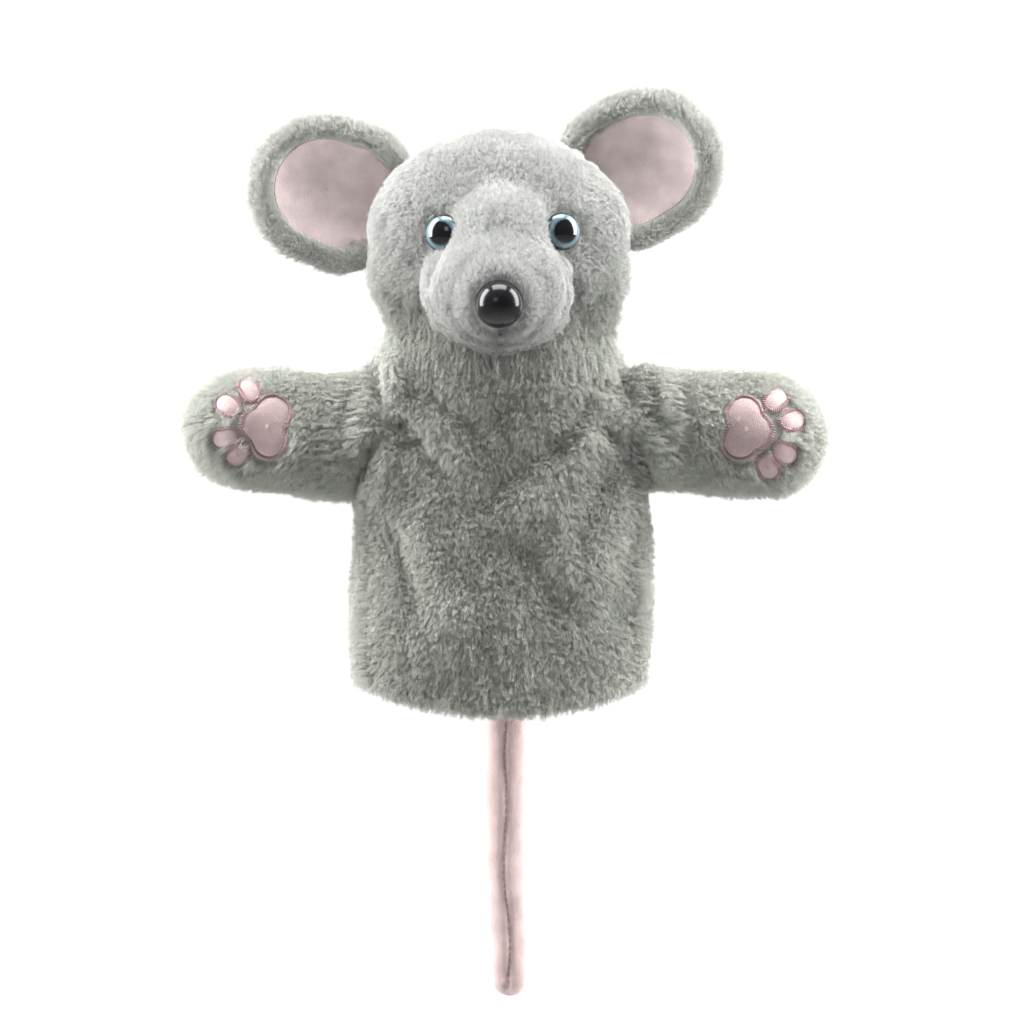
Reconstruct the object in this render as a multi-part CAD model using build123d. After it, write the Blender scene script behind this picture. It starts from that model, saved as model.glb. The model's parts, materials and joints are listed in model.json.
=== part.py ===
from build123d import *
import math
import os


# A plush mouse hand puppet: a hollow glove body and arms, a stuffed head on a finger
# tube, sewn ears, safety eyes and nose, appliqued paws and a soft tail.
#
# Millimetres, +Z up, the puppet faces -Y, and left means the puppet's own left (+X).
# The origin is the middle of the hand opening, at the lowest point of the curved hem.

os.makedirs("parts", exist_ok=True)

# fabric
PLUSH = 4.5  # plush pile, backing and lining of the body, as one layer
ARM_PLUSH = 4.0
HEAD_PLUSH = 4.0
VELBOA = 1.2  # thin short-pile fabric of the tail
THREAD = 0.6
GAP = 0.4  # free space between fabric parts that fold against each other

# body: height, half width, half depth of each level
BODY_LEVELS = [(-4, 59, 33), (25, 60, 33.5), (75, 58.5, 32.5), (118, 60, 31), (138, 56, 28.5), (148, 49, 24)]
HEM_ARC = 144.0  # radius of the curve that the hem follows from side to side
HEM_TURNING = 12.0  # height of the facing turned up inside
FACING = 1.5

# arms: all turned about a level line through the armholes
ARM_HEIGHT = 116.5
SHOULDER_X = 66.0  # where the arm swings forward
ARM_FOLD_X = 82.0  # where the arm lifts
FOLD_R = 20.0  # rounded gusset of fabric at the shoulder
FOLD_THICK = 3.5
FINGER_R = 13.0  # the way through for a finger
CUFF_X = 88.0
CUFF_R = 21.0
SLEEVE_X = 97.0
PAW_R = 24.0
PAW_X = 109.0
PAW_FILL_X = 114.0

# paw appliques, as places in the plane of the front: x is outward from the body
PADS = {
    "left": {
        "side": 1,
        "lobes": [(101, 123), (105.5, 115.8), (99.5, 112)],
        "toes": [(114.2, 128.9), (121, 120.5), (118, 107.1), (110.9, 101.2)],
    },
    "right": {
        "side": -1,
        "lobes": [(-95.5, 123.5), (-101.5, 118.5), (-97, 112.5)],
        "toes": [(-105.4, 133.1), (-114, 126.6), (-115.3, 113.4), (-110.2, 106.3)],
    },
}
LOBE_R = 6.3
TOE_R = 4.2
PAD_PROUD = 1.0
STITCH_WIDE = 0.9

# neck and head: height, half width, half depth of each level
NECK_Z = 157.0
NECK_R = 20.0
HEAD_X = -1.0
HEAD_LEVELS = [
    (158.5, 45, 24),
    (165, 48, 27),
    (172, 50.5, 31),
    (184, 54.5, 36.5),
    (198, 54.5, 38.5),
    (212, 50, 37),
    (226, 38.5, 30),
    (236, 24, 19.5),
    (240.5, 10, 8),
]
FINGER_TUBE_R = 9.5
FINGER_TUBE_WALL = 1.2
FINGER_TUBE_Z = (178.5, 224.0)

# snout: turned about a line that slopes down to the nose, as distance and radius
SNOUT_START = (HEAD_X, -27.0, 186.0)
SNOUT_SLOPE = 16.7
SNOUT_PROFILE = [(0, 24), (7, 28.3), (15, 29.5), (28, 27.2), (40, 20), (49, 11)]
NOSE_R = 10.0
NOSE_AT = 53.0
CHIN_Z = 162.0

# eyes
EYES = {"left": (27.7, 200.3), "right": (-26.9, 199.5)}
EYE_Y = -34.3
EYE_TURN = 22.0  # how far each eye looks outwards
EYE_R = 8.0
EYE_DOME = 4.8
SHANK_R = 2.5
SHANK_LENGTH = 13.0
WASHER_R = 8.0
WASHER_THICK = 1.6

# ears: centre of the disc, and the middle of the sewn base, as x and z
EARS = {
    "left": {"centre": (60.0, 228.9), "base": (43.2, 220.5)},
    "right": {"centre": (-74.3, 218.4), "base": (-50.4, 209.4)},
}
EAR_Y = 18.0
EAR_R = 31.0
EAR_HALF = 2.5
LINING_R = 22.5
LINING_START = 8.0
EAR_RIM = 3.0

# tail
TAIL_X = 2.0
TAIL_Y = 41.5
TAIL_ROOT_Z = 20.0
TAIL_ROOT_R = 6.5
TAIL_LIFT_Z = 8.0
TAIL_CURL_Z = -58.0
TAIL_TIP_Z = -118.5
TAIL_TOP = (8.4, 5.2)  # half width and half thickness
TAIL_LOW = (6.2, 4.6)
TAIL_FOLD_R = 7.0


def levels(rows, grow=0.0, x=0.0):
    """A smooth solid through level ellipses, each grown by the same amount."""
    return loft([Pos(x, 0, z) * Ellipse(a + grow, b + grow) for z, a, b in rows])


def ball(x, y, z, r):
    return Pos(x, y, z) * Sphere(r)


def along_x(x, z, r, length):
    return Pos(x, 0, z) * Rot(0, 90, 0) * Cylinder(r, length)


def half_space(low, high):
    """A box between two opposite corners."""
    size = [high[i] - low[i] for i in range(3)]
    middle = [(high[i] + low[i]) / 2 for i in range(3)]
    return Pos(*middle) * Box(*size)


def save(shape, name):
    shape.label = name
    export_step(shape, f"parts/{name}.step")


def body_panels():
    """The glove: one front panel and two back panels, open at the hem, neck and armholes."""
    outer = levels(BODY_LEVELS)
    top = BODY_LEVELS[-1][0]
    inner = levels(BODY_LEVELS, -PLUSH) - half_space((-99, -99, top - PLUSH), (99, 99, top + 9))
    hem = Pos(0, 0, HEM_ARC) * Rot(90, 0, 0) * Cylinder(HEM_ARC, 200)
    shell = (outer - inner) & hem
    for side in (-1, 1):
        shell -= ball(side * SHOULDER_X, 0, ARM_HEIGHT, FOLD_R + GAP)
        shell -= along_x(side * 50, ARM_HEIGHT, FINGER_R + 1, 30)
    shell -= ball(0, 0, NECK_Z, NECK_R + GAP)
    shell -= Pos(0, 0, top) * Cylinder(FINGER_R + 3, 20)
    save(shell & half_space((-99, -99, -9), (99, 0, 199)), "body_front_panel")
    save(shell & half_space((0, 0, -9), (99, 99, 199)), "body_back_panel_left")
    save(shell & half_space((-99, 0, -9), (0, 99, 199)), "body_back_panel_right")

    facing = levels(BODY_LEVELS, -PLUSH) - levels(BODY_LEVELS, -PLUSH - FACING)
    band = hem - Pos(0, 0, HEM_ARC) * Rot(90, 0, 0) * Cylinder(HEM_ARC - HEM_TURNING, 200)
    low = half_space((-99, -99, -9), (99, 99, 45))
    save(facing & band & low, "hem_facing")
    stitch = levels(BODY_LEVELS, -PLUSH - FACING) - levels(BODY_LEVELS, -PLUSH - FACING - THREAD)
    line = Pos(0, 0, HEM_ARC) * Rot(90, 0, 0) * Cylinder(HEM_ARC - HEM_TURNING + 3, 200)
    line -= Pos(0, 0, HEM_ARC) * Rot(90, 0, 0) * Cylinder(HEM_ARC - HEM_TURNING + 2, 200)
    save(stitch & line & low, "hem_stitching")

    anchor = Pos(TAIL_X, 0, TAIL_ROOT_Z + 2) * Box(11, 2 * (TAIL_Y - 4), 14) - outer
    anchor &= half_space((-99, 0, -9), (99, 99, 99))
    save(anchor, "tail_anchor")
    seam = levels(BODY_LEVELS, THREAD) - outer
    seam &= half_space((-THREAD, 10, 4), (THREAD, 99, 136))
    save(seam - Pos(TAIL_X, 0, TAIL_ROOT_Z + 2) * Box(11.2, 99, 14.2), "back_seam_thread")


def arm_section(grow):
    """Half of the arm's lengthways section, from its cuff to the tip of the paw."""
    tip = PAW_X + PAW_R + grow
    diagonal = math.sqrt(0.5) * (PAW_R + grow)
    edges = [
        Line((CUFF_X, 0), (CUFF_X, CUFF_R + grow)),
        Line((CUFF_X, CUFF_R + grow), (SLEEVE_X, PAW_R + grow)),
        Line((SLEEVE_X, PAW_R + grow), (PAW_X, PAW_R + grow)),
        ThreePointArc((PAW_X, PAW_R + grow), (PAW_X + diagonal, diagonal), (tip, 0)),
        Line((tip, 0), (CUFF_X, 0)),
    ]
    return make_face(edges)


def half_turned(section, side, back=False, turn=180):
    """The front or back half of an arm layer, or all of it, from its section."""
    shape = revolve(Plane.XZ * section, Axis.X, turn)
    if back:
        shape = Rot(180, 0, 0) * shape
    if side < 0:
        shape = mirror(shape, Plane.YZ)
    return Pos(0, 0, ARM_HEIGHT) * shape


def pad_outline(lobes, grow):
    """A rounded three-lobed pad, seen from the front."""
    shape = make_face(Polyline(*lobes, close=True))
    for x, z in lobes:
        shape += Pos(x, z) * Circle(LOBE_R + grow)
    return shape


def towards_front(sketch):
    return extrude(Plane.XZ * sketch, 40)


def arm(name, side, lobes, toes):
    """A hollow sleeve with a paw: two plush halves, wadding in the tip, appliqued pads."""
    room = Pos(ARM_FOLD_X, 0) * Circle(FOLD_R + GAP)
    shell = arm_section(0) - arm_section(-ARM_PLUSH) - room
    save(half_turned(shell, side), f"arm_front_{name}")
    save(half_turned(shell, side, back=True), f"arm_back_{name}")
    tip = arm_section(-ARM_PLUSH) - Pos(PAW_FILL_X / 2, 0) * Rectangle(PAW_FILL_X, 99)
    save(half_turned(tip, side, turn=360), f"paw_filling_{name}")

    skin = half_turned(arm_section(PAD_PROUD) - arm_section(0), side)
    edge = half_turned(arm_section(PAD_PROUD - 0.2) - arm_section(0), side)
    pad = towards_front(pad_outline(lobes, 0))
    save(skin & pad, f"paw_pad_{name}")
    stitches = towards_front(pad_outline(lobes, STITCH_WIDE)) - pad
    toe_prisms = [towards_front(Pos(x, z) * Circle(TOE_R)) for x, z in toes]
    for x, z in toes:
        stitches += towards_front(Pos(x, z) * Circle(TOE_R + STITCH_WIDE)) - pad
    for prism in toe_prisms:
        stitches -= prism
    save(Compound(children=[skin & prism for prism in toe_prisms]), f"toe_pads_{name}")
    save(stitches & edge, f"pad_stitching_{name}")


def shoulder_fold(name, side):
    """The rounded gusset of loose fabric between the armhole and the arm, open for a finger."""
    fold = ball(side * SHOULDER_X, 0, ARM_HEIGHT, FOLD_R) + ball(side * ARM_FOLD_X, 0, ARM_HEIGHT, FOLD_R)
    inside = FOLD_R - FOLD_THICK
    fold -= ball(side * SHOULDER_X, 0, ARM_HEIGHT, inside)
    fold -= ball(side * ARM_FOLD_X, 0, ARM_HEIGHT, inside)
    fold -= along_x(side * 80, ARM_HEIGHT, FINGER_R, 80)
    save(fold, f"shoulder_fold_{name}")


def neck_fold():
    """The gathered fabric ring between the body and the head, open for a finger."""
    fold = ball(0, 0, NECK_Z, NECK_R) - ball(0, 0, NECK_Z, NECK_R - FOLD_THICK)
    save(fold - Pos(0, 0, NECK_Z) * Cylinder(FINGER_R, 80), "neck_fold")


def snout_place():
    """Local X runs along the snout, from inside the head down to the nose."""
    slope = math.radians(SNOUT_SLOPE)
    ahead = (0, -math.cos(slope), -math.sin(slope))
    return Plane(origin=SNOUT_START, x_dir=ahead, z_dir=(1, 0, 0))


def snout(grow):
    start, end = SNOUT_PROFILE[0], SNOUT_PROFILE[-1]
    points = [(s, r + grow) for s, r in SNOUT_PROFILE]
    edges = [
        Line((start[0], 0), points[0]),
        Spline(*points),
        Line(points[-1], (end[0], 0)),
        Line((end[0], 0), (start[0], 0)),
    ]
    return snout_place() * revolve(make_face(edges), Axis.X)


def eye_place(name):
    """Local Z points out of the head along the eye's shank."""
    x, z = EYES[name]
    turn = math.radians(EYE_TURN) * (1 if x > 0 else -1)
    return Plane(origin=(x, EYE_Y, z), x_dir=(0, 0, 1), z_dir=(math.sin(turn), -math.cos(turn), 0))


def nose_place():
    slope = math.radians(SNOUT_SLOPE)
    x, y, z = SNOUT_START
    at = (x, y - NOSE_AT * math.cos(slope), z - NOSE_AT * math.sin(slope))
    return Plane(origin=at, x_dir=(1, 0, 0), z_dir=(0, -math.cos(slope), -math.sin(slope)))


def shank(r, length, start):
    return Pos(0, 0, start - length / 2) * Cylinder(r, length)


def washer():
    return Cylinder(WASHER_R, WASHER_THICK) - Cylinder(SHANK_R, WASHER_THICK)


def head():
    """Five plush panels sewn round the stuffing, with a closed tube for the finger."""
    outer = levels(HEAD_LEVELS, 0, HEAD_X) + snout(0)
    inner = levels(HEAD_LEVELS, -HEAD_PLUSH, HEAD_X) + snout(-HEAD_PLUSH)
    inner -= half_space((-99, -99, 0), (99, 99, HEAD_LEVELS[0][0] + HEAD_PLUSH))
    inner -= half_space((-99, -99, HEAD_LEVELS[-1][0] - HEAD_PLUSH), (99, 99, 299))
    cuts = [ball(0, 0, NECK_Z, NECK_R + GAP), nose_place() * Sphere(NOSE_R)]
    for name in EYES:
        cuts.append(eye_place(name) * Pos(0, 0, EYE_R) * Cylinder(EYE_R, 2 * EYE_R))
        cuts.append(eye_place(name) * shank(SHANK_R, SHANK_LENGTH, 0))
        cuts.append(eye_place(name) * Pos(0, 0, -8) * Cylinder(WASHER_R, WASHER_THICK))
    cuts.append(nose_place() * shank(SHANK_R, 24, 0))
    cuts.append(nose_place() * Pos(0, 0, -18) * Cylinder(WASHER_R, WASHER_THICK))
    tube_low, tube_high = FINGER_TUBE_Z
    tube_r = FINGER_TUBE_R + FINGER_TUBE_WALL
    way_in = Pos(0, 0, (tube_high + 150) / 2) * Cylinder(tube_r, tube_high - 150)
    shell = outer - inner
    stuffing = inner
    for cut in cuts:
        shell -= cut
        stuffing -= cut
    shell -= way_in
    stuffing -= way_in
    save(stuffing, "head_filling")
    tube = Pos(0, 0, (tube_high + tube_low) / 2) * Cylinder(tube_r, tube_high - tube_low)
    bore = Pos(0, 0, (tube_high + tube_low) / 2 - FINGER_TUBE_WALL) * Cylinder(FINGER_TUBE_R, tube_high - tube_low)
    save(tube - bore, "finger_tube")

    panels = {
        "head_back_panel": half_space((-99, 14, 0), (99, 99, 299)),
        "head_side_left": half_space((33, -99, 0), (99, 14, 299)),
        "head_side_right": half_space((-99, -99, 0), (-35, 14, 299)),
        "head_face_panel": half_space((-35, -99, CHIN_Z), (33, 14, 299)),
        "chin_panel": half_space((-35, -99, 0), (33, 14, CHIN_Z)),
    }
    for name, part_of in panels.items():
        save(shell & part_of, name)


def face_details():
    """Glossy eyes and nose, each held by a shank and a lock washer, and the sewn mouth."""
    radius = (EYE_R**2 + EYE_DOME**2) / (2 * EYE_DOME)
    above = half_space((-20, -20, 1.2), (20, 20, 20))
    for name in EYES:
        place = eye_place(name)
        dome = Pos(0, 0, 1.2 + EYE_DOME - radius) * Sphere(radius) & above
        save(place * dome, f"eye_dome_{name}")
        back = Pos(0, 0, 0.6) * Cylinder(EYE_R, 1.2) + shank(SHANK_R, SHANK_LENGTH, 0)
        save(place * back, f"eye_back_{name}")
        save(place * Pos(0, 0, -8) * washer(), f"eye_washer_{name}")
    save(nose_place() * (Sphere(NOSE_R) + shank(SHANK_R, 24, 0)), "nose")
    save(nose_place() * Pos(0, 0, -18) * washer(), "nose_washer")

    proud = (snout(THREAD) - snout(0)) & half_space((-99, -99, 0), (99, -50, 199))
    strokes = [((-1, 159.5), (-1, 155.5)), ((-1, 155.5), (-4, 153.6)), ((-1, 155.5), (2.6, 154.2))]
    thread = None
    for (x0, z0), (x1, z1) in strokes:
        long = math.hypot(x1 - x0, z1 - z0)
        lean = math.degrees(math.atan2(z1 - z0, x1 - x0))
        stroke = Pos((x0 + x1) / 2, (z0 + z1) / 2) * Rot(0, 0, lean) * SlotOverall(long + 1.6, 1.2)
        thread = stroke if thread is None else thread + stroke
    save(proud & extrude(Plane.XZ * thread, 80), "mouth_stitch")


def ear_place(centre, base):
    """Local X points from the sewn base to the ear's centre, and local Z to the front."""
    away = Vector(centre[0] - base[0], 0, centre[1] - base[1]).normalized()
    return Plane(origin=(base[0], EAR_Y, base[1]), x_dir=away, z_dir=(0, -1, 0))


def ear(name, centre, base):
    """A round ear: plush back and rolled rim, thin pink lining, and the seam between."""
    place = ear_place(centre, base)
    reach = math.hypot(centre[0] - base[0], centre[1] - base[1])
    chord = math.sqrt(EAR_R**2 - reach**2)
    disc = Pos(reach, 0, 0) * Cylinder(EAR_R, 2 * EAR_HALF)
    disc &= half_space((0, -99, -9), (199, 99, 9))
    disc += Rot(90, 0, 0) * Cylinder(EAR_HALF, 2 * chord - 2)
    front = EAR_HALF + EAR_RIM / 2
    rim = Pos(reach, 0, front) * (Cylinder(EAR_R, EAR_RIM) - Cylinder(LINING_R + THREAD, EAR_RIM))
    beyond = half_space((LINING_START, -99, 0), (199, 99, 20))
    save(place * (disc + (rim & beyond)), f"ear_back_{name}")
    lining = Pos(reach, 0, EAR_HALF + 1) * Cylinder(LINING_R, 2)
    save(place * (lining & beyond), f"ear_lining_{name}")
    seam = Pos(reach, 0, front) * (Cylinder(LINING_R + THREAD, EAR_RIM) - Cylinder(LINING_R, EAR_RIM))
    save(place * (seam & beyond), f"ear_seam_{name}")


def tail_tube(top, low, grow=0.0):
    """A stretch of the tail, from one height down to another, slimmer towards the tip."""
    full = TAIL_LIFT_Z - TAIL_TIP_Z
    faces = []
    for z in (top, low):
        share = (TAIL_LIFT_Z - z) / full
        a = TAIL_TOP[0] + (TAIL_LOW[0] - TAIL_TOP[0]) * share + grow
        b = TAIL_TOP[1] + (TAIL_LOW[1] - TAIL_TOP[1]) * share + grow
        faces.append(Pos(TAIL_X, TAIL_Y, z) * Ellipse(a, b))
    return loft(faces)


def fold_end(z, grow=0.0):
    """The rounded upper end of a tail stretch, inside the tail's own thickness."""
    shape = ball(TAIL_X, TAIL_Y, z, TAIL_FOLD_R + grow)
    flat = TAIL_TOP[1] + grow - 0.2
    return shape & half_space((-99, TAIL_Y - flat, z), (99, TAIL_Y + flat, z + 20))


def tail():
    """A root sewn to the back seam and two soft stuffed stretches with a seam down the front."""
    root = Pos(TAIL_X, TAIL_Y - 0.4, TAIL_ROOT_Z) * Rot(90, 0, 0) * Cylinder(TAIL_ROOT_R, 6.4)
    save(root - ball(TAIL_X, TAIL_Y, TAIL_LIFT_Z, TAIL_FOLD_R + GAP), "tail_root")

    upper_end = TAIL_CURL_Z + (TAIL_FOLD_R + GAP) * math.cos(math.radians(45))
    hollow = ball(TAIL_X, TAIL_Y, TAIL_CURL_Z, TAIL_FOLD_R + GAP)
    upper = tail_tube(TAIL_LIFT_Z - 1, upper_end) + fold_end(TAIL_LIFT_Z - 1) - hollow
    upper_core = tail_tube(TAIL_LIFT_Z - 2, upper_end + 6, -VELBOA)
    save(upper - upper_core, "tail_upper_skin")
    save(upper_core, "tail_upper_filling")

    tip = TAIL_TIP_Z + TAIL_LOW[1]
    rounded = Pos(TAIL_X, TAIL_Y, tip) * Sphere(TAIL_LOW[1])
    lower = tail_tube(TAIL_CURL_Z - 0.5, tip) + fold_end(TAIL_CURL_Z - 0.5, -0.2) + rounded
    lower_core = tail_tube(TAIL_CURL_Z - 1.5, tip + 1, -VELBOA)
    save(lower - lower_core, "tail_lower_skin")
    save(lower_core, "tail_lower_filling")

    front = half_space((TAIL_X - THREAD, 0, -199), (TAIL_X + THREAD, TAIL_Y, 99))
    for name, top, low in (("upper", TAIL_LIFT_Z - 9, upper_end + 1), ("lower", TAIL_CURL_Z - 8, tip + 1)):
        thread = tail_tube(top, low, THREAD) - tail_tube(top, low)
        save(thread & front, f"tail_seam_{name}")


body_panels()
neck_fold()
head()
face_details()
tail()
for side_name, pads in PADS.items():
    shoulder_fold(side_name, pads["side"])
    arm(side_name, pads["side"], pads["lobes"], pads["toes"])
for side_name, ear_data in EARS.items():
    ear(side_name, ear_data["centre"], ear_data["base"])
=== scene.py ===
"""The looks of the plush mouse hand puppet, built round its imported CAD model.

Lengths in this script are millimetres in the model's own frame, and become metres where
a mesh is made. +Z is up, the face looks along -Y, and left is the puppet's own left (+X)."""

import contextlib
import functools
import json
import math
import bmesh
import bpy
import numpy as np
from mathutils import Matrix, Vector
from mathutils.bvhtree import BVHTree


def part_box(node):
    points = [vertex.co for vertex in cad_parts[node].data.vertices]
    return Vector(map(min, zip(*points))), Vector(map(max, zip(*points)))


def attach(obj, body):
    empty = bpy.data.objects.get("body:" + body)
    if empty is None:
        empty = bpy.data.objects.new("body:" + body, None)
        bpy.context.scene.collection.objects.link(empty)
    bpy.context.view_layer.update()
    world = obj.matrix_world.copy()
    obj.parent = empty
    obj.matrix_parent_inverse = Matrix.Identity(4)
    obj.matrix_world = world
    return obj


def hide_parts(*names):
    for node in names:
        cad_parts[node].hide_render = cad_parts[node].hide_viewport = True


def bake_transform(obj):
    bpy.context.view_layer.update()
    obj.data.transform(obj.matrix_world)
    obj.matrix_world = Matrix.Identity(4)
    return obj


MM = 0.001
X, Y, Z = 0, 1, 2
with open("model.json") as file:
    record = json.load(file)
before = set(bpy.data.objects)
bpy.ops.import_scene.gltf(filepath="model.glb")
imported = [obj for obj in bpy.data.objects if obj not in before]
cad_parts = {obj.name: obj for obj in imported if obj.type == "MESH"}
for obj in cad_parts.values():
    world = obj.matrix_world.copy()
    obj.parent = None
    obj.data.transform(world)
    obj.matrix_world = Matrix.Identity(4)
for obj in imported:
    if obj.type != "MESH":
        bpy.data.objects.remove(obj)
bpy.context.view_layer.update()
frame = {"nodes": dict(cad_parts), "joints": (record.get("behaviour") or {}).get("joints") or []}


def node_box(node):
    low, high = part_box(node)
    return np.array(low) / MM, np.array(high) / MM


def node_centre(node):
    low, high = node_box(node)
    return (low + high) / 2


def joint_place(name):
    joint = next(j for j in frame["joints"] if j["name"] == name)
    return np.array(joint["pos_m"], float) / MM, np.array(joint["axis"], float)


# ---- places and sizes that come from the frame ----
SIDES = {"left": 1, "right": -1}
NOSE_LOW, NOSE_HIGH = node_box("nose")
NOSE_R = (NOSE_HIGH[0] - NOSE_LOW[0]) / 2
NOSE_DROP = 3.4  # the plush sags, so the nose hangs lower than its shank
NOSE = np.array([node_centre("nose")[0], NOSE_LOW[1] + NOSE_R, node_centre("nose")[2] - NOSE_DROP])
HEAD_X = NOSE[0]
PAW_TIP = node_box("arm_front_left")[1][0]
TAIL = node_centre("tail_upper_skin")
TAIL_STRETCH = 5.5  # the tail hangs this much longer than its CAD solid
TAIL_TIP_Z = node_box("tail_lower_skin")[0][2] - TAIL_STRETCH

# ---- seams between the pieces ----
ARMHOLE_X = 54.0
SLEEVE_X = 79.0
COLLAR_Z = 139.0
NECK_SEAM_Z = 153.0
NECK_TOP_Z = 170.0
SKIRT_LOW = 157.0  # the head's plush hangs down to here round the neck
SKIRT_TOP = 166.0
SKIRT_FRONT = -34.0  # the chin starts here
WADDING_LOW = 163.0
FINGER_R = 10.9
FABRIC = 3.6  # thickness of the plush without its pile
SKIN_GRID = 1.5  # the size of a face on the plush skins
SKIN_SMOOTHING = 14


# ---- small tools ----
def lattice_noise(points, scale, seed):
    """A value of about -1 to 1 for each point, which varies smoothly over the scale."""
    table = np.random.default_rng(seed).uniform(-1, 1, (32, 32, 32))
    p = points / np.asarray(scale, float)
    cell = np.floor(p).astype(int)
    f = p - cell
    f = f * f * (3 - 2 * f)
    total = np.zeros(len(points))
    for dx in (0, 1):
        for dy in (0, 1):
            for dz in (0, 1):
                step = np.array((dx, dy, dz))
                weight = np.prod(np.where(step, f, 1 - f), axis=1)
                i, j, k = ((cell + step) & 31).T
                total += weight * table[i, j, k]
    return total


def smooth_step(x, low, high):
    t = np.clip((x - low) / (high - low), 0, 1)
    return t * t * (3 - 2 * t)


def bump(x, middle, width):
    """1 at the middle, falling smoothly to 0 over about twice the width."""
    return np.exp(-(((x - middle) / width) ** 2))


def points_of(mesh):
    flat = np.empty(len(mesh.vertices) * 3)
    mesh.vertices.foreach_get("co", flat)
    return flat.reshape(-1, 3) / MM


def normals_of(mesh):
    flat = np.empty(len(mesh.vertices) * 3)
    mesh.vertex_normals.foreach_get("vector", flat)
    return flat.reshape(-1, 3)


def set_points(mesh, points):
    mesh.vertices.foreach_set("co", (np.asarray(points) * MM).ravel())
    mesh.update()


def placed(name, content):
    """A new object in the scene for a mesh, a light or a camera."""
    piece = bpy.data.objects.new(name, content)
    bpy.context.scene.collection.objects.link(piece)
    return piece


def mesh_piece(name, points, faces):
    """A new object from points in millimetres."""
    mesh = bpy.data.meshes.new(name)
    mesh.from_pydata([tuple(p) for p in np.asarray(points) * MM], [], faces)
    mesh.update()
    mesh.shade_smooth()
    return placed(name, mesh)


def baked(piece):
    """Makes the piece's modifiers real."""
    depsgraph = bpy.context.evaluated_depsgraph_get()
    mesh = bpy.data.meshes.new_from_object(piece.evaluated_get(depsgraph))
    mesh.name = piece.name
    old = piece.data
    piece.modifiers.clear()
    piece.data = mesh
    bpy.data.meshes.remove(old)


def soften(piece, times, group=""):
    """Smooths the piece, everywhere or where a vertex group says."""
    smoothing = piece.modifiers.new("soften", "SMOOTH")
    smoothing.factor = 0.5
    smoothing.iterations = times
    smoothing.vertex_group = group
    baked(piece)


def finer(piece):
    """Splits each face in four."""
    dense = piece.modifiers.new("dense", "SUBSURF")
    dense.levels = dense.render_levels = 1
    baked(piece)


@contextlib.contextmanager
def edited(mesh):
    """The mesh as a bmesh, which is written back afterwards."""
    bm = bmesh.new()
    bm.from_mesh(mesh)
    yield bm
    bm.to_mesh(mesh)
    bm.free()
    mesh.update()


def split(bm, place, direction, clear=True):
    """Cuts a bmesh at a plane, and clears what lies beyond it unless told not to."""
    bmesh.ops.bisect_plane(
        bm,
        geom=bm.verts[:] + bm.edges[:] + bm.faces[:],
        dist=1e-7,
        plane_co=Vector(place) * MM,
        plane_no=Vector(direction),
        clear_outer=clear,
    )


def cut_away(mesh, place, direction):
    """Removes what lies beyond a plane, on the side that the direction points to."""
    with edited(mesh) as bm:
        split(bm, place, direction)


def face_outwards(mesh):
    """Turns every face's front to the outside."""
    with edited(mesh) as bm:
        bmesh.ops.recalc_face_normals(bm, faces=bm.faces)


def under(axis, value):
    """The plane that keeps what is below a value along an axis."""
    return np.eye(3)[axis] * value, np.eye(3)[axis]


def over(axis, value):
    return np.eye(3)[axis] * value, -np.eye(3)[axis]


def beyond(side, x):
    """The plane that keeps what is further out than x on one side."""
    return over(X, x) if side > 0 else under(X, -x)


def within(side, x):
    return under(X, x) if side > 0 else over(X, -x)


def turns(around):
    """The angles of points spaced evenly round a circle."""
    return [2 * math.pi * k / around for k in range(around)]


def ring_faces(rows, around, closed_ends=True):
    """Faces of a tube of rings, each with the same number of points."""
    faces = []
    for r in range(rows - 1):
        for k in range(around):
            a, b = r * around + k, r * around + (k + 1) % around
            faces.append((a, b, b + around, a + around))
    if closed_ends:
        faces.append(tuple(reversed(range(around))))
        faces.append(tuple(range((rows - 1) * around, rows * around)))
    return faces


def super_ring(cx, cy, z, a, b, power, around):
    """A level ring, squarer than an ellipse where the power is over 2."""
    ring = []
    for t in turns(around):
        c, s = math.cos(t), math.sin(t)
        x = math.copysign(abs(c) ** (2 / power), c) * a
        y = math.copysign(abs(s) ** (2 / power), s) * b
        ring.append((cx + x, cy + y, z))
    return ring


def ellipsoid(centre, radii, rows=24, around=36):
    """Points and faces of an ellipsoid."""
    points = []
    for r in range(rows + 1):
        v = math.pi * r / rows
        ring = max(math.sin(v), 0.01)
        for u in turns(around):
            x = radii[0] * ring * math.cos(u)
            y = radii[1] * ring * math.sin(u)
            points.append((centre[0] + x, centre[1] + y, centre[2] - radii[2] * math.cos(v)))
    return points, ring_faces(rows + 1, around)


def together(solids):
    """The points and faces of several solids as one list of each."""
    points, faces = [], []
    for solid_points, solid_faces in solids:
        start = len(points)
        points.extend(solid_points)
        faces.extend(tuple(i + start for i in face) for face in solid_faces)
    return points, faces


def one_skin(name, solids):
    """One smooth skin round overlapping solids."""
    piece = mesh_piece(name, *together(solids))
    remesh = piece.modifiers.new("skin", "REMESH")
    remesh.mode = "VOXEL"
    remesh.voxel_size = SKIN_GRID * MM
    baked(piece)
    soften(piece, SKIN_SMOOTHING)
    piece.data.shade_smooth()
    return piece


def cut_piece(source, name, planes):
    """A copy of the source's mesh, cut by planes given as place and outward direction."""
    mesh = source.data.copy()
    mesh.name = name
    for place, direction in planes:
        cut_away(mesh, place, direction)
    mesh.shade_smooth()
    return placed(name, mesh)


def cut_up(source, planes):
    return {name: cut_piece(source, name, cuts) for name, cuts in planes.items()}


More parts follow.
